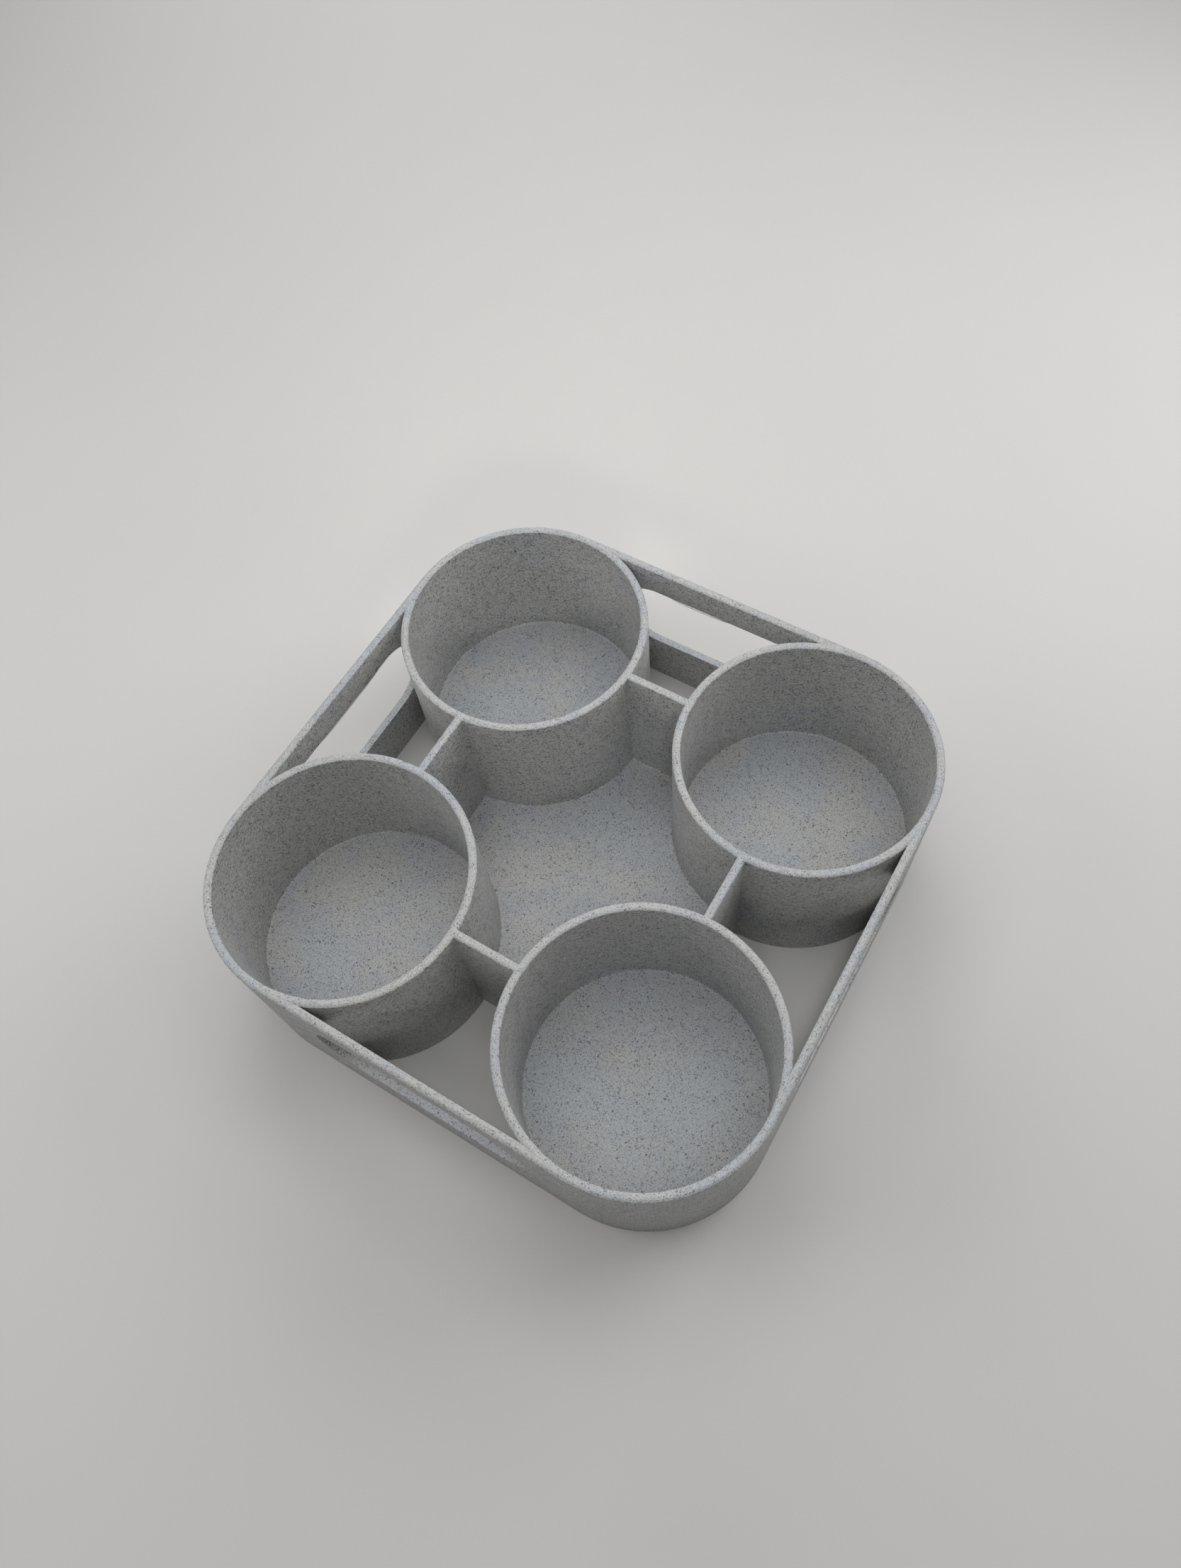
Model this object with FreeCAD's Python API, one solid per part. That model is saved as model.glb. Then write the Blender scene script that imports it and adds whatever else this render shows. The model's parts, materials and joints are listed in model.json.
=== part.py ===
"""Four-cup tray made in one piece: millimetres, +Z up, origin at the centre of its base.

Four round wells stand at the corners of a square. A straight wall runs from each well to the next
along every side, tangent to both, so the outline is a square with round corners. Short webs join
neighbouring wells nearer the middle and close off a square middle well. The wells have a floor.
The four gaps between a side wall, two wells and a web have none. Each side wall has a round-ended
slot that serves as a grip. All walls are vertical, and their top edges are rounded.
"""
import FreeCAD
import Part
import math
import os

# Driving dimensions
height = 58.0
cup_inner_diameter = 75.0
cup_pitch = 100.0
wall = 2.5
floor_thickness = 7.0
rail_height = 10.0
sill_height = 20.0
slot_end_margin = 0.5
rim_round = 1.0

# Sizes that follow from them
cup_inner_radius = cup_inner_diameter / 2
cup_outer_radius = cup_inner_radius + wall
cup_offset = cup_pitch / 2
half_side = cup_offset + cup_outer_radius
side_inner_face = half_side - wall
web_outer_face = cup_offset
web_inner_face = web_outer_face - wall
slot_top = height - rail_height
rim_radius = min(rim_round, 0.45 * wall)

# How far a cutting shape runs past the face it starts from
overshoot = 1.0

origin = FreeCAD.Vector(0, 0, 0)
up = FreeCAD.Vector(0, 0, 1)


def half_gap_at(distance):
    """Half the free width between two neighbouring wells, along a line this far from the middle."""
    reach = distance - cup_offset
    return cup_offset - math.sqrt(cup_outer_radius ** 2 - reach ** 2)


def line(start, end):
    return Part.LineSegment(FreeCAD.Vector(*start), FreeCAD.Vector(*end)).toShape()


def arc(start, middle, end):
    return Part.Arc(FreeCAD.Vector(*start), FreeCAD.Vector(*middle), FreeCAD.Vector(*end)).toShape()


def turned(shape, quarter):
    """A copy of the shape, turned about the tray's axis by this many quarter turns."""
    copy = shape.copy()
    copy.rotate(origin, up, 90 * quarter)
    return copy


def column(edges, bottom, top):
    """The upright solid between two heights whose outline is drawn at height 0."""
    face = Part.Face(Part.Wire(edges))
    face.translate(up * bottom)
    return face.extrude(up * (top - bottom))


def four_sided(side, corner, bottom, top):
    """A column whose outline is one side and one corner, repeated at every quarter turn."""
    edges = []
    for quarter in range(4):
        edges.append(turned(side, quarter))
        edges.append(turned(corner, quarter))
    return column(edges, bottom, top)


def outer_block():
    """The whole outline: a square whose corners are the wells' outer circles."""
    slant = cup_offset + cup_outer_radius * math.sqrt(0.5)
    side = line((-cup_offset, -half_side, 0), (cup_offset, -half_side, 0))
    corner = arc((cup_offset, -half_side, 0), (slant, -slant, 0), (half_side, -cup_offset, 0))
    return four_sided(side, corner, 0, height)


def middle_well():
    """The space inside the webs, with the wells' outer walls at its corners."""
    half = half_gap_at(web_inner_face)
    slant = cup_offset - cup_outer_radius * math.sqrt(0.5)
    side = line((-half, -web_inner_face, 0), (half, -web_inner_face, 0))
    corner = arc((half, -web_inner_face, 0), (slant, -slant, 0), (web_inner_face, -half, 0))
    return four_sided(side, corner, floor_thickness, height + overshoot)


def cup_well():
    depth = height - floor_thickness
    centre = FreeCAD.Vector(cup_offset, cup_offset, floor_thickness)
    return Part.makeCylinder(cup_inner_radius, depth + overshoot, centre)


def side_gap():
    """The floorless gap on the -Y side, between the side wall, two wells and their web."""
    half_out = half_gap_at(side_inner_face)
    half_in = half_gap_at(web_outer_face)
    waist_y = (side_inner_face + web_outer_face) / 2
    waist_x = half_gap_at(waist_y)
    edges = [
        line((-half_out, -side_inner_face, 0), (half_out, -side_inner_face, 0)),
        arc((half_out, -side_inner_face, 0), (waist_x, -waist_y, 0), (half_in, -web_outer_face, 0)),
        line((half_in, -web_outer_face, 0), (-half_in, -web_outer_face, 0)),
        arc((-half_in, -web_outer_face, 0), (-waist_x, -waist_y, 0), (-half_out, -side_inner_face, 0)),
    ]
    return column(edges, -overshoot, height + overshoot)


def grip_slot():
    """The slot through the -Y side wall: its ends are half circles that stop short of the wells."""
    half_length = half_gap_at(side_inner_face) - slot_end_margin
    mid = (sill_height + slot_top) / 2
    straight = half_length - (slot_top - sill_height) / 2
    y = -half_side - overshoot
    edges = [
        line((-straight, y, sill_height), (straight, y, sill_height)),
        arc((straight, y, sill_height), (half_length, y, mid), (straight, y, slot_top)),
        line((straight, y, slot_top), (-straight, y, slot_top)),
        arc((-straight, y, slot_top), (-half_length, y, mid), (-straight, y, sill_height)),
    ]
    to_inner_face = FreeCAD.Vector(0, overshoot + wall, 0)
    return Part.Face(Part.Wire(edges)).extrude(to_inner_face)


def rounded_top(shape):
    """The shape with every edge of its top face rounded."""
    top_edges = [edge for edge in shape.Edges if abs(edge.BoundBox.ZMin - height) < 1e-6]
    return shape.makeFillet(rim_radius, top_edges)


def cup_tray():
    cuts = [middle_well()]
    for quarter in range(4):
        cuts.append(turned(cup_well(), quarter))
        cuts.append(turned(side_gap(), quarter))
    body = rounded_top(outer_block().cut(cuts))
    slots = [turned(grip_slot(), quarter) for quarter in range(4)]
    return body.cut(slots)


os.makedirs("parts", exist_ok=True)
tray = cup_tray()
tray.exportStep("parts/cup_tray.step")
print("cup_tray", len(tray.Solids), "solid,", round(tray.Volume / 1000, 2), "cm3")
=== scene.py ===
"""Looks for the printed four-cup tray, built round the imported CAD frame. Metres, +Z up, base at z = 0.

The tray replaces its CAD node with a finer mesh of the same shape and size: every opening is a closed
loop of points that can grow into the wall, and the walls, rims, floors and slots are rings of that
loop at different heights. Loose threads hang under the slots' bridged tops. The plastic's flecks,
print lines and faint clouds are procedural.
"""

import json
import math

import bmesh
import bpy
from mathutils import Matrix, Vector


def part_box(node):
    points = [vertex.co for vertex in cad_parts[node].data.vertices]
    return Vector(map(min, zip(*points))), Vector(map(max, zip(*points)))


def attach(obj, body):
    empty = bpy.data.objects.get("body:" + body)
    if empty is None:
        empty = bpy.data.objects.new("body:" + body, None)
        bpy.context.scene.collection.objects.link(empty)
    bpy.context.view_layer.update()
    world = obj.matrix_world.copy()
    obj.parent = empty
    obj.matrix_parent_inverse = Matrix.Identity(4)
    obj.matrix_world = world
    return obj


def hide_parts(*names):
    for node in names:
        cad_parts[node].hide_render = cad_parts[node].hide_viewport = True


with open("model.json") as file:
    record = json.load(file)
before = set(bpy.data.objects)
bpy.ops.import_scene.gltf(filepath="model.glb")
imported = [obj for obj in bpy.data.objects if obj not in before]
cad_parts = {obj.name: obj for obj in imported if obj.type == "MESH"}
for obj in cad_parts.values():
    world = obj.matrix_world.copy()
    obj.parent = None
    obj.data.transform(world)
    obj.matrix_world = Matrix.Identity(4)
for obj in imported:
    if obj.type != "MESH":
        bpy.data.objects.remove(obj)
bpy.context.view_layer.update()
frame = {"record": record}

# ---------------------------------------------------------------- sizes, in millimetres
MM = 0.001
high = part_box("cup_tray")[1]
mounts = {mount["name"]: mount for mount in frame["record"]["mounts"]}
well_mount = mounts["cup_well_front_left"]

HEIGHT = high.z / MM
HALF_SIDE = high.x / MM
CUP_OFFSET = mounts["cup_wells"]["dims"]["spacing_x_mm"] / 2
CUP_INNER = mounts["cup_wells"]["dims"]["hole_r_mm"]
CUP_OUTER = HALF_SIDE - CUP_OFFSET
WALL = CUP_OUTER - CUP_INNER
FLOOR = well_mount["pos_m"][2] / MM - well_mount["dims"]["length_mm"] / 2
SIDE_FACE = HALF_SIDE - WALL

# Sizes that the frame doesn't state, the same as in the CAD source
RAIL_HEIGHT = 10.0
SILL_HEIGHT = 20.0
SLOT_END_MARGIN = 0.5

# A slot's top is printed across the open slot, and hangs this much lower than in the CAD
BRIDGE_SAG = 0.35
SLOT_TOP = HEIGHT - RAIL_HEIGHT - BRIDGE_SAG

# The rims are crowned. These are the width of one side of the crown, how far its edge lies below
# its top, and the small round that ends it
RIM_WIDTH = 1.15
RIM_DROP = 0.45
RIM_EDGE = 0.15

# Edges that the CAD leaves sharp are rounded this much, well under a printed line's width, and
# there is a fillet where a wall meets a floor
EDGE_ROUND = 0.15
FLOOR_FILLET = 0.8

# How finely the mesh is divided
RIM_STEPS = 8
EDGE_STEPS = 3
WELL_STEPS = 240
CORNER_STEPS = 60
ARC_STEPS = 56
SLOT_END_STEPS = 40

# Faces that meet at more than this angle, in degrees, are shaded as a corner
SHARP_ANGLE = 34

# Flecks on the rims are drawn out along the rim by this much
RIM_STRETCH = 1.5

# The height of a printed layer, and the width of a printed line
LAYER_PITCH = 0.2
RASTER_PITCH = 0.45


# ---------------------------------------------------------------- outlines that can grow
def arc(centre, radius, start, end, steps):
    """Points along an arc, both ends included. Angles are in degrees."""
    points = []
    for i in range(steps + 1):
        angle = math.radians(start + (end - start) * i / steps)
        points.append((centre[0] + radius * math.cos(angle), centre[1] + radius * math.sin(angle)))
    return points


def turned(point, quarter):
    """A point, turned about the tray's axis by this many quarter turns."""
    x, y = point[:2]
    for _ in range(quarter):
        x, y = -y, x
    return (x, y, *point[2:])


def all_round(side):
    """One side's points, repeated at every quarter turn."""
    return [turned(point, quarter) for quarter in range(4) for point in side]


def outline(grow):
    """The tray's outline, drawn in by grow: a straight side, then a corner, four times."""
    side = [(-CUP_OFFSET, grow - HALF_SIDE)]
    side += arc((CUP_OFFSET, -CUP_OFFSET), CUP_OUTER - grow, -90, 0, CORNER_STEPS)[:-1]
    return all_round(side)


def cup_well(quarter):
    """A well's wall, at the corner that this many quarter turns reach."""
    def loop(grow):
        centre = turned((CUP_OFFSET, -CUP_OFFSET), quarter)
        return arc(centre, CUP_INNER + grow, 0, 360, WELL_STEPS)[:-1]
    return loop


def middle_well(grow):
    """The well inside the webs, with the cups' outer walls at its corners."""
    radius = CUP_OUTER - grow
    cut = math.degrees(math.asin((WALL - grow) / radius))
    return all_round(arc((CUP_OFFSET, -CUP_OFFSET), radius, 180 - cut, 90 + cut, ARC_STEPS))


def side_gap(quarter):
    """The open gap between a side wall, two cups and a web."""
    def loop(grow):
        radius = CUP_OUTER - grow
        at_wall = math.degrees(math.asin((SIDE_FACE + grow - CUP_OFFSET) / radius))
        at_web = math.degrees(math.asin(grow / radius))
        right = arc((CUP_OFFSET, -CUP_OFFSET), radius, 180 + at_wall, 180 - at_web, ARC_STEPS)
        left = [(-x, y) for x, y in reversed(right)]
        return [turned(point, quarter) for point in right + left]
    return loop


def slot(grow):
    """The grip slot in a side wall, as (x, z): two half circles joined by straight runs."""
    half_gap = CUP_OFFSET - math.sqrt(CUP_OUTER ** 2 - (SIDE_FACE - CUP_OFFSET) ** 2)
    radius = (SLOT_TOP - SILL_HEIGHT) / 2
    straight = half_gap - SLOT_END_MARGIN - radius
    mid = SILL_HEIGHT + radius
    right = arc((straight, mid), radius + grow, -90, 90, SLOT_END_STEPS)
    left = arc((-straight, mid), radius + grow, 90, 270, SLOT_END_STEPS)
    return right + left


# ---------------------------------------------------------------- the mesh
def quarter_round(first, second, steps):
    """A rounded edge, from one face's end to the other's: how far short of each it still is."""
    pairs = []
    for i in range(steps + 1):
        angle = math.radians(90 * i / steps)
        pairs.append((first * (1 - math.sin(angle)), second * (1 - math.cos(angle))))
    return pairs


def crown_drop(across):
    """How far the crown lies below its top, this far in from the wall's face."""
    return RIM_DROP * (1 - across / RIM_WIDTH) ** 2


def rim_profile():
    """A rim, from the wall's face to the crown's top: how far below the top and how far in."""
    pairs = []
    for drop, across in quarter_round(RIM_EDGE, RIM_EDGE, EDGE_STEPS):
        pairs.append((drop + crown_drop(across), across))
    for i in range(1, RIM_STEPS + 1):
        across = RIM_EDGE + (RIM_WIDTH - RIM_EDGE) * i / RIM_STEPS
        pairs.append((crown_drop(across), across))
    return pairs


class Shell:
    """A mesh in the making. Each point also keeps where it is in the plastic's grain."""

    def __init__(self):
        self.bm = bmesh.new()
        self.grain = self.bm.verts.layers.float_vector.new("grain")

    def point(self, place, grain):
        vertex = self.bm.verts.new(place)
        vertex[self.grain] = grain
        return vertex

    def ring(self, loop, grow, z, grain_grow=None):
        """One level of an outline. Its grain may be read from the outline grown differently."""
        grains = loop(grow if grain_grow is None else grain_grow)
        pairs = zip(loop(grow), grains)
        return [self.point((*place, z), (*grain, z)) for place, grain in pairs]

    def bridge(self, first, second, leave_out=()):
        """Quads between two rings, apart from those that start at the points to leave out."""
        count = len(first)
        for i in range(count):
            if i not in leave_out:
                j = (i + 1) % count
                self.bm.faces.new((first[i], first[j], second[j], second[i]))

    def fill(self, *rings):
        """One flat face region bounded by rings, the inner ones being holes."""
        edges = []
        for ring in rings:
            for i, start in enumerate(ring):
                pair = (start, ring[(i + 1) % len(ring)])
                edges.append(self.bm.edges.get(pair) or self.bm.edges.new(pair))
        bmesh.ops.triangle_fill(self.bm, use_beauty=True, edges=edges)

    def wall(self, loop, foot, leave_out=()):
        """Rings from the foot of a wall up to the top of its rim.

        Returns the lowest and highest rings and the two that bound the wall's straight part.
        """
        lowest = self.ring(loop, *foot[0])
        below = lowest
        for grow, z in foot[1:]:
            ring = self.ring(loop, grow, z)
            self.bridge(below, ring)
            below = ring
        straight_foot = below
        straight_head = None
        for drop, grow in rim_profile():
            stretched = WALL / 2 - RIM_STRETCH * (WALL / 2 - grow)
            ring = self.ring(loop, grow, HEIGHT - drop, stretched)
            self.bridge(below, ring, leave_out if below is straight_foot else ())
            straight_head = straight_head or ring
            below = ring
        return lowest, below, straight_foot, straight_head

    def finish(self, name):
        """The object, in metres, with its normals outward and its real corners sharp."""
        bmesh.ops.scale(self.bm, vec=(MM, MM, MM), verts=self.bm.verts)
        bmesh.ops.recalc_face_normals(self.bm, faces=self.bm.faces)
        mesh = bpy.data.meshes.new(name)
        self.bm.to_mesh(mesh)
        self.bm.free()
        mesh.shade_smooth()
        mesh.set_sharp_from_angle(angle=math.radians(SHARP_ANGLE))
        piece = bpy.data.objects.new(name, mesh)
        bpy.context.scene.collection.objects.link(piece)
        return piece


def make_tray():
    """The whole tray as one closed mesh: walls, rims, floors and base, and the slots' tunnels."""
    shell = Shell()
    per_side = 1 + CORNER_STEPS
    side_starts = [per_side * quarter for quarter in range(4)]
    convex_foot = quarter_round(EDGE_ROUND, EDGE_ROUND, EDGE_STEPS)
    fillet = quarter_round(FLOOR_FILLET, FLOOR_FILLET, RIM_STEPS)
    concave_foot = [(-across, FLOOR + along) for across, along in fillet]

    # The side walls' faces that the slots cut are left out here, and filled round the slots below
    tops = []
    bases = []
    outer = shell.wall(outline, convex_foot, side_starts)
    bases.append(outer[0])
    tops.append(outer[1])
    for loop in [middle_well] + [cup_well(quarter) for quarter in range(4)]:
        floor_edge, rim, _, _ = shell.wall(loop, concave_foot)
        shell.fill(floor_edge)
        tops.append(rim)
    gaps = []
    last = 2 * (ARC_STEPS + 1) - 1
    for quarter in range(4):
        gap = shell.wall(side_gap(quarter), convex_foot, [last])
        bases.append(gap[0])
        tops.append(gap[1])
        gaps.append(gap)
    shell.fill(*tops)
    shell.fill(*bases)

    for quarter in range(4):
        start = side_starts[quarter]
        outer_corners = [outer[2][start], outer[2][start + 1], outer[3][start + 1], outer[3][start]]
        foot, head = gaps[quarter][2], gaps[quarter][3]
        inner_corners = [foot[-1], foot[0], head[0], head[-1]]
        rings = []
        for grow, depth in convex_foot:
            rings.append((grow, -HALF_SIDE + depth))
        for grow, depth in reversed(convex_foot):
            rings.append((grow, -SIDE_FACE - depth))
        tunnel = []
        for grow, y in rings:
            places = [turned((x, y, z), quarter) for x, z in slot(grow)]
            tunnel.append([shell.point(place, place) for place in places])
        for near, far in zip(tunnel, tunnel[1:]):
            shell.bridge(near, far)
        shell.fill(outer_corners, tunnel[0])
        shell.fill(inner_corners, tunnel[-1])
    return shell.finish("tray_shell")


# ---------------------------------------------------------------- loose threads of plastic
THREAD_SIDES = 8
THREAD_STEPS = 24

# The middle of a thread's end lies this much of its radius above the slot's top, inside the wall
THREAD_SEAT = 0.3

# One thread in each tuple, lengths in millimetres. Slots and wells are numbered by quarter turns,
# from the slot on the -Y side and the well at the +X -Y corner. A slot's bridged top has some that
# sagged: (slot, how far out from the wall's inner face, start, end, sag, radius)
SLOT_THREADS = [
    (2, 0.40, -5.5, 18.0, 1.15, 0.11),
    (2, 1.50, -19.0, 12.0, 0.50, 0.16),
    (3, 0.40, -19.5, 16.5, 1.15, 0.10),
    (3, 0.35, -18.0, 15.0, 0.60, 0.09),
    (3, 1.50, -20.0, 18.0, 0.50, 0.16),
    (0, 0.50, -14.0, 16.0, 1.00, 0.13),
    (0, 1.20, -20.0, 9.0, 0.60, 0.16),
    (1, 0.60, -17.0, 13.0, 1.10, 0.13),
    (1, 1.40, -12.0, 19.0, 0.80, 0.16),
]

# A well's wall has one stuck to it near the floor:
# (well, start and end in degrees round it, start and end above the floor, radius)
WELL_THREADS = [
    (0, 123.0, 145.0, 0.4, 2.0, 0.13),
]


def add_thread(shell, path, radius):
    """A round thread along a path of points."""
    rings = []
    for i, place in enumerate(path):
        heading = path[min(i + 1, len(path) - 1)] - path[max(i - 1, 0)]
        across = heading.cross((0, 0, 1)).normalized()
        lift = across.cross(heading).normalized()
        ring = []
        for side in range(THREAD_SIDES):
            angle = 2 * math.pi * side / THREAD_SIDES
            point = place + radius * (math.cos(angle) * across + math.sin(angle) * lift)
            ring.append(shell.point(point, point))
        rings.append(ring)
    for near, far in zip(rings, rings[1:]):
        shell.bridge(near, far)
    shell.bm.faces.new(rings[0])
    shell.bm.faces.new(rings[-1])


def slot_thread(quarter, depth, start, end, sag, radius):
    """The path of a thread that hangs from a slot's top, nearly level but for its ends."""
    path = []
    for i in range(THREAD_STEPS + 1):
        share = i / THREAD_STEPS
        along = start + (end - start) * share
        drop = sag * (1 - (2 * share - 1) ** 4)
        z = SLOT_TOP + THREAD_SEAT * radius - drop
        path.append(Vector(turned((along, -(SIDE_FACE + depth), z), quarter)))
    return path


def well_thread(quarter, start, end, start_rise, end_rise, radius):
    """The path of a thread that lies on a well's wall."""
    centre = turned((CUP_OFFSET, -CUP_OFFSET), quarter)
    flat = arc(centre, CUP_INNER - radius / 2, start, end, THREAD_STEPS)
    path = []
    for i, place in enumerate(flat):
        rise = start_rise + (end_rise - start_rise) * i / THREAD_STEPS
        path.append(Vector((*place, FLOOR + rise)))
    return path


def make_threads():
    """All the loose threads, as one mesh."""
    shell = Shell()
    for thread in SLOT_THREADS:
        add_thread(shell, slot_thread(*thread), thread[-1])
    for thread in WELL_THREADS:
        add_thread(shell, well_thread(*thread), thread[-1])
    return shell.finish("loose_threads")


# ---------------------------------------------------------------- materials
class Graph:
    """Adds nodes to a material. Each input is a number, a tuple or another node's output."""

    def __init__(self, material):
        self.tree = material.node_tree

    def add(self, kind, inputs=None, **settings):
        node = self.tree.nodes.new(kind)
        for key, value in settings.items():
            setattr(node, key, value)
        for key, value in (inputs or {}).items():
            if isinstance(value, bpy.types.NodeSocket):
                self.tree.links.new(value, node.inputs[key])
            else:
                node.inputs[key].default_value = value
        return node

    def math(self, operation, *values):
        return self.add("ShaderNodeMath", dict(enumerate(values)), operation=operation).outputs[0]

    def vector(self, operation, first, second):
        node = self.add("ShaderNodeVectorMath", {0: first, 1: second}, operation=operation)
        return node.outputs[0]

    def ramp(self, value, start, end, low=0.0, high=1.0):
        """low before start, high after end, smooth between."""
        inputs = {"Value": value, "From Min": start, "From Max": end, "To Min": low, "To Max": high}
        return self.add("ShaderNodeMapRange", inputs, interpolation_type="SMOOTHSTEP").outputs[0]

    def noise(self, where, size, detail=2.0, roughness=0.5):
        """Noise, mostly from 0.25 to 0.75. Its blobs' size is in the unit of the place's."""
        inputs = {"Vector": where, "Scale": 1 / size, "Detail": detail, "Roughness": roughness}
        return self.add("ShaderNodeTexNoise", inputs).outputs[0]

    def mix(self, share, first, second):
        """A colour between two: the first where the share is 0, the second where it is 1."""
        inputs = {"Factor": share, "A": first, "B": second}
        node = self.add("ShaderNodeMix", data_type="RGBA")
        for key, value in inputs.items():
            socket = [s for s in node.inputs if s.name == key and s.enabled][0]
            if isinstance(value, bpy.types.NodeSocket):
                self.tree.links.new(value, socket)
            else:
                socket.default_value = value
        return [s for s in node.outputs if s.enabled][0]

    def flecks(self, where, cell, smallest, largest, edge, rarity, crowding):
        """(cover, tone): how much of a fleck is here, and a random number for that fleck.

        There is at most one round fleck in a cell, of a random radius; a higher rarity leaves
        fewer large ones, and crowding scales them all.
        """
        voronoi = self.add("ShaderNodeTexVoronoi", {"Vector": where, "Scale": 1 / cell})
        chances = self.add("ShaderNodeSeparateColor", {"Color": voronoi.outputs["Color"]})
        chance = self.math("POWER", chances.outputs[0], rarity)
        radius = self.math("MULTIPLY_ADD", chance, largest - smallest, smallest)
        radius = self.math("MULTIPLY", radius, crowding)
        distance = self.math("MULTIPLY", voronoi.outputs["Distance"], cell)
        depth = self.math("SUBTRACT", radius, distance)
        return self.ramp(depth, -edge, edge), chances.outputs[1]


# The plastic's colours, linear
PALE_NEUTRAL = (0.454, 0.452, 0.439, 1)
PALE_BLUE = (0.409, 0.428, 0.448, 1)
FLECK_BLACK = (0.075, 0.082, 0.092, 1)
FLECK_GREY = (0.235, 0.250, 0.268, 1)

# Layers of flecks, in millimetres: the width of the cells that hold one each, the smallest and
# largest radius, the width of the soft edge, and how rare the large ones are
SMALL_FLECKS = (0.5, 0.08, 0.20, 0.05, 1.0)
LARGE_FLECKS = (1.0, 0.08, 0.34, 0.05, 1.8)
LONG_FLECKS = (0.7, 0.07, 0.31, 0.06, 1.3)

# How much of the colour under it a fleck hides
FLECK_COVER = 0.92

# How far the flecks' edges stray, and how closely
RAGGED_REACH = 0.35
RAGGED_SCALE = 3.0

# How wide in millimetres the patches are where flecks crowd, colour drifts and gloss changes, and
# the spots of the fine grain on level faces and on walls
CROWD_SIZE = 2.8
SMALL_CLOUD = 6.0
LARGE_CLOUD = 24.0
GLOSS_PATCH = 5.0
GRIT_SIZE = 0.45
STREAK_SIZE = 0.42

# What the small and large clouds count for, and their sum where neutral starts and blue is full
SMALL_CLOUD_SHARE = 0.6
LARGE_CLOUD_SHARE = 1.4
CLOUD_RANGE = (0.84, 1.22)

# Places are scaled by these before a pattern is laid there, which draws the pattern out
LONG_GRAIN = (0.72, 0.72, 1.0)
GRIT_GRAIN = (1.0, 1.0, 1.3)
STREAK_GRAIN = (0.38, 0.38, 1.1)
DRIFT_GRAIN = (0.06, 0.06, 1.0)

# The least and most that flecks crowd, the fine grain shades the colour, and roughness
CROWD_RANGE = (0.88, 1.1)
SHADE_RANGE = (0.8, 1.18)
ROUGHNESS_RANGE = (0.38, 0.5)
STREAK_GAIN = 1.7

# A face is level, rather than upright, as the upward part of its normal passes these
LEVEL_RANGE = (0.7, 0.85)

# How much more neutral the walls are painted than level faces, a painted light colour: the level faces
# stay bluer as if under cooler light; how much paler the walls are painted, painted light on the walls;
# and how much bluer the colour is painted low down, a painted cool shade in the wells, with the heights
# in millimetres where that is full and where it ends
WALL_NEUTRAL_PAINTED_LIGHT = 0.27
WALL_PALER_PAINTED_LIGHT = 0.06
LOW_BLUE_PAINTED_SHADE = 0.1
LOW_BLUE_PAINTED_SHADE_HEIGHTS = (8.0, 30.0)

# The height of the print's relief, in metres, how strongly it shows, and what the fine grain and
# the printed lines count for in it
RELIEF_HEIGHT = 0.00003
RELIEF_STRENGTH = 0.35
GRIT_RELIEF = 1.2
LINE_RELIEF = 0.5

# The printed layers are a little uneven: how far their wave is pushed, in radians, and how tall
# the patches are where that changes, in millimetres
DRIFT_REACH = 3.0
DRIFT_SIZE = 0.8

# The table's colours, linear, and the size in metres of the clouds that they form
TABLE_DARKER = (0.612, 0.606, 0.592, 1)
TABLE_LIGHTER = (0.632, 0.626, 0.612, 1)
TABLE_CLOUD = 0.08


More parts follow.
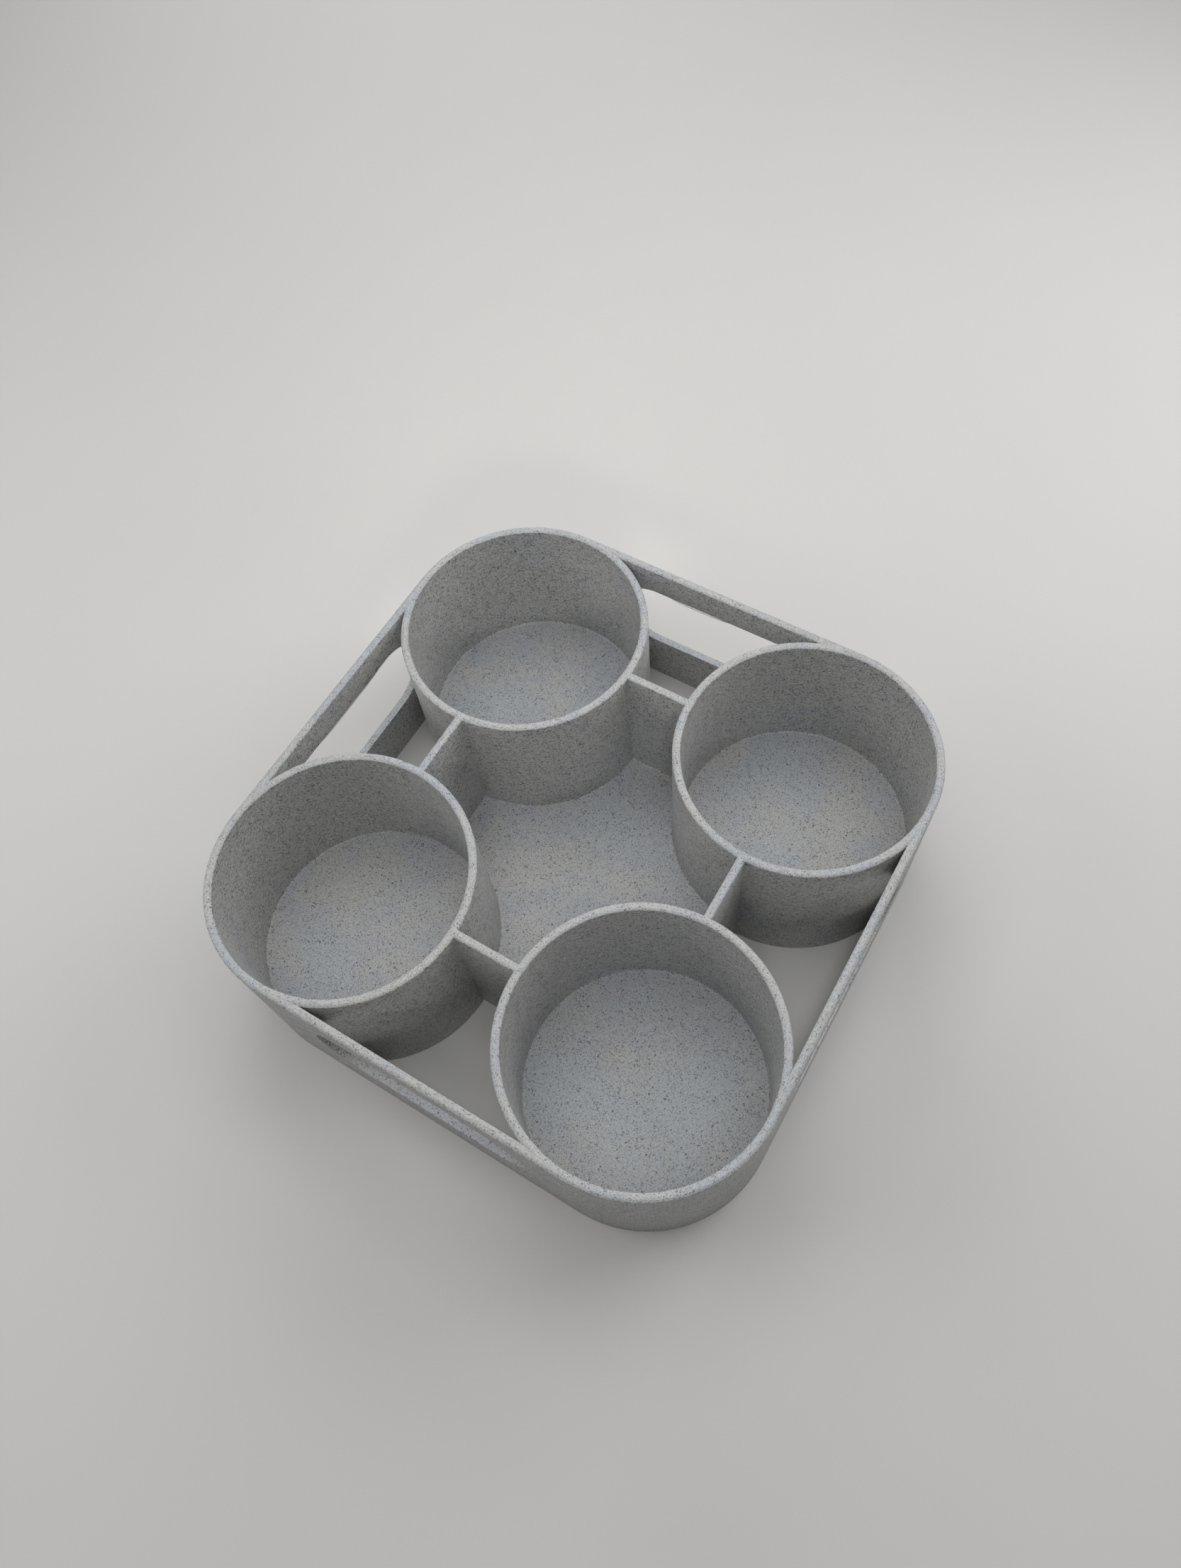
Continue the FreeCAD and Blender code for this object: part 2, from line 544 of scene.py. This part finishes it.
def speckled_plastic():
    material = bpy.data.materials.new("speckled_plastic")
    material.use_nodes = True
    graph = Graph(material)
    shader = material.node_tree.nodes["Principled BSDF"]
    links = material.node_tree.links

    grain = graph.add("ShaderNodeAttribute", attribute_name="grain").outputs["Vector"]
    place = graph.add("ShaderNodeTexCoord").outputs["Object"]
    place = graph.vector("MULTIPLY", place, (1 / MM, 1 / MM, 1 / MM))
    normal = graph.add("ShaderNodeNewGeometry").outputs["Normal"]
    upward = graph.math("ABSOLUTE", graph.add("ShaderNodeSeparateXYZ", {0: normal}).outputs[2])
    flat = graph.ramp(upward, *LEVEL_RANGE)

    # Flecks: a little ragged, and slightly larger in some patches. The walls have more and longer
    # ones, because there the printed lines are seen from the side
    scatter = {"Vector": grain, "Scale": RAGGED_SCALE, "Detail": 1.0}
    wobble = graph.add("ShaderNodeTexNoise", scatter)
    wobble = graph.vector("SUBTRACT", wobble.outputs["Color"], (0.5, 0.5, 0.5))
    wobble = graph.vector("MULTIPLY", wobble, (RAGGED_REACH, RAGGED_REACH, RAGGED_REACH))
    ragged = graph.vector("ADD", grain, wobble)
    crowding = graph.ramp(graph.noise(grain, CROWD_SIZE), 0.36, 0.64, *CROWD_RANGE)
    layers_of_flecks = [
        graph.flecks(ragged, *SMALL_FLECKS, crowding),
        graph.flecks(ragged, *LARGE_FLECKS, crowding),
    ]
    upright = graph.math("SUBTRACT", 1.0, flat)
    long_place = graph.vector("MULTIPLY", ragged, LONG_GRAIN)
    long_fleck, long_tone = graph.flecks(long_place, *LONG_FLECKS, crowding)
    layers_of_flecks.append((graph.math("MULTIPLY", long_fleck, upright), long_tone))

    # Body colour: neutral to bluish clouds, large and small, with a painted light colour by which way a
    # face looks and a painted cool shade low down, and a fine grain that is drawn out along the layers
    # on the walls, which are painted paler
    small_clouds = graph.math("MULTIPLY", graph.noise(place, SMALL_CLOUD), SMALL_CLOUD_SHARE)
    large_clouds = graph.noise(place, LARGE_CLOUD, 1.0)
    clouds = graph.math("MULTIPLY_ADD", large_clouds, LARGE_CLOUD_SHARE, small_clouds)
    # Painted light colour: the walls are pushed towards neutral and the level faces stay bluer, standing
    # in for the colour of the light on each
    clouds = graph.math("MULTIPLY_ADD", upright, -WALL_NEUTRAL_PAINTED_LIGHT, clouds)
    z = graph.add("ShaderNodeSeparateXYZ", {0: place}).outputs[2]
    # Painted cool shade: the colour turns bluer low down, in the wells
    clouds = graph.math("ADD", clouds, graph.ramp(z, *LOW_BLUE_PAINTED_SHADE_HEIGHTS, LOW_BLUE_PAINTED_SHADE, 0.0))
    body = graph.mix(graph.ramp(clouds, *CLOUD_RANGE), PALE_NEUTRAL, PALE_BLUE)
    grit = graph.noise(graph.vector("MULTIPLY", grain, GRIT_GRAIN), GRIT_SIZE, 2.0, 0.6)
    streaks = graph.noise(graph.vector("MULTIPLY", grain, STREAK_GRAIN), STREAK_SIZE, 2.0, 0.6)
    streaks = graph.math("MULTIPLY_ADD", streaks, STREAK_GAIN, (1 - STREAK_GAIN) / 2)
    grit = graph.add("ShaderNodeMix", {0: flat, 2: streaks, 3: grit}).outputs[0]
    shade = graph.ramp(grit, 0.25, 0.75, *SHADE_RANGE)
    # Painted light: the walls are painted paler than the level faces
    shade = graph.math("MULTIPLY_ADD", upright, WALL_PALER_PAINTED_LIGHT, shade)
    shade = graph.add("ShaderNodeCombineXYZ", {0: shade, 1: shade, 2: shade}).outputs[0]
    colour = graph.vector("MULTIPLY", body, shade)
    for cover, tone in layers_of_flecks:
        dark = graph.mix(tone, FLECK_BLACK, FLECK_GREY)
        colour = graph.mix(graph.math("MULTIPLY", cover, FLECK_COVER), colour, dark)
    links.new(colour, shader.inputs["Base Color"])

    # Surface: satin, with the print's layers on the walls and its raster on flat faces
    rough = graph.ramp(graph.noise(place, GLOSS_PATCH, 3.0, 0.6), 0.3, 0.7, *ROUGHNESS_RANGE)
    links.new(rough, shader.inputs["Roughness"])
    drift = graph.noise(graph.vector("MULTIPLY", place, DRIFT_GRAIN), DRIFT_SIZE)
    layer_phase = graph.math("MULTIPLY", z, 2 * math.pi / LAYER_PITCH)
    layers = graph.math("SINE", graph.math("MULTIPLY_ADD", drift, DRIFT_REACH, layer_phase))
    diagonal = graph.vector("MULTIPLY", place, (math.sqrt(0.5), math.sqrt(0.5), 0.0))
    diagonal = graph.add("ShaderNodeVectorMath", {0: diagonal, 1: (1, 1, 0)}, operation="DOT_PRODUCT")
    raster_phase = graph.math("MULTIPLY", diagonal.outputs["Value"], 2 * math.pi / RASTER_PITCH)
    raster = graph.math("SINE", raster_phase)
    relief = graph.add("ShaderNodeMix", {0: flat, 2: layers, 3: raster}).outputs[0]
    relief = graph.math("MULTIPLY", relief, LINE_RELIEF)
    relief = graph.math("MULTIPLY_ADD", grit, GRIT_RELIEF, relief)
    heights = {"Strength": RELIEF_STRENGTH, "Distance": RELIEF_HEIGHT, "Height": relief}
    bump = graph.add("ShaderNodeBump", heights)
    links.new(bump.outputs[0], shader.inputs["Normal"])

    shader.inputs["Specular IOR Level"].default_value = 0.5
    return material


def floor_material():
    material = bpy.data.materials.new("pale_floor")
    material.use_nodes = True
    graph = Graph(material)
    shader = material.node_tree.nodes["Principled BSDF"]
    place = graph.add("ShaderNodeTexCoord").outputs["Object"]
    tone = graph.noise(place, TABLE_CLOUD)
    colour = graph.mix(tone, TABLE_DARKER, TABLE_LIGHTER)
    material.node_tree.links.new(colour, shader.inputs["Base Color"])
    shader.inputs["Roughness"].default_value = 0.9
    shader.inputs["Specular IOR Level"].default_value = 0.1
    return material


# ---------------------------------------------------------------- the object
plastic = speckled_plastic()
tray = make_tray()
threads = make_threads()
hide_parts("cup_tray")
for piece in (tray, threads):
    piece.data.materials.append(plastic)
    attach(piece, "root")

# ---------------------------------------------------------------- floor, light and camera
# The camera's angles are in degrees: turned from +Y towards -X, tipped down, and rolled. Its place
# and near limit are in metres, its lens and the width of its image in millimetres
CAMERA_PLACE = (0.09671, -0.11579, 0.35523)
CAMERA_TURN = 37.863
CAMERA_DOWN = 61.802
CAMERA_ROLL = -8.003
CAMERA_LENS = 26.140
CAMERA_SENSOR = 36.0
CAMERA_NEAR = 0.01

# The floor's half width, and how far it lies under the tray, in metres
FLOOR_REACH = 2.5
FLOOR_DROP = 0.00005

WORLD_STRENGTH = 0.07

corners = []
for x, y in ((-1, -1), (1, -1), (1, 1), (-1, 1)):
    corners.append((x * FLOOR_REACH, y * FLOOR_REACH, -FLOOR_DROP))
floor_mesh = bpy.data.meshes.new("floor")
floor_mesh.from_pydata(corners, [], [(0, 1, 2, 3)])
floor_mesh.materials.append(floor_material())
floor = bpy.data.objects.new("floor", floor_mesh)
bpy.context.scene.collection.objects.link(floor)

world = bpy.data.worlds.new("studio")
bpy.context.scene.world = world
world.use_nodes = True
world.node_tree.nodes["Background"].inputs["Color"].default_value = (1.0, 1.0, 1.0, 1)
world.node_tree.nodes["Background"].inputs["Strength"].default_value = WORLD_STRENGTH


def soft_lamp(name, turn, elevation, distance, size, power, aim=(0, 0, 0), spread=180):
    """A round soft lamp, aimed at a point. Lengths are in metres and angles in degrees.

    Its turn is clockwise from the far side, seen from above.
    """
    heading = math.radians(CAMERA_TURN - turn)
    rise = math.radians(elevation)
    level = distance * math.cos(rise)
    place = Vector((-math.sin(heading) * level, math.cos(heading) * level, distance * math.sin(rise)))
    data = bpy.data.lights.new(name, "AREA")
    data.shape = "DISK"
    data.size = size
    data.energy = power
    data.spread = math.radians(spread)
    lamp = bpy.data.objects.new(name, data)
    lamp.location = place
    lamp.rotation_mode = "QUATERNION"
    lamp.rotation_quaternion = (Vector(aim) - place).to_track_quat("-Z", "Y")
    bpy.context.scene.collection.objects.link(lamp)


# The lamps around the tray: name, turn, elevation, distance and width in metres, and watts
LAMPS = [
    ("top_lamp", 0, 85, 0.9, 1.0, 3.3),
    ("far_lamp", 0, 60, 0.6, 0.4, 0.3),
    ("window_lamp", 0, 25, 0.9, 0.6, 1.7),
    ("right_lamp", 70, 36, 0.62, 0.4, 1.13),
    ("high_right_lamp", 80, 62, 0.9, 0.4, 0.4),
    ("left_lamp", 280, 36, 0.62, 0.4, 0.82),
    ("near_lamp", 180, 72, 1.0, 0.4, 0.9),
]
for lamp in LAMPS:
    soft_lamp(*lamp)

# One more lamp, with a narrow beam, fills in the far well. The point is in metres
FAR_WELL_WALL = (-0.072, 0.093, 0.03)
soft_lamp("corner_lamp", 180, 40, 0.75, 0.12, 0.011, FAR_WELL_WALL, 18)

camera_data = bpy.data.cameras.new("camera")
camera_data.lens = CAMERA_LENS
camera_data.sensor_width = CAMERA_SENSOR
camera_data.clip_start = CAMERA_NEAR
camera = bpy.data.objects.new("camera", camera_data)
turn = Matrix.Rotation(math.radians(CAMERA_TURN), 3, "Z")
tilt = Matrix.Rotation(math.radians(90 - CAMERA_DOWN), 3, "X")
roll = Matrix.Rotation(math.radians(CAMERA_ROLL), 3, "Z")
camera.matrix_world = Matrix.Translation(CAMERA_PLACE) @ (turn @ tilt @ roll).to_4x4()
bpy.context.scene.collection.objects.link(camera)
bpy.context.scene.camera = camera
bpy.context.scene.view_settings.view_transform = "Standard"
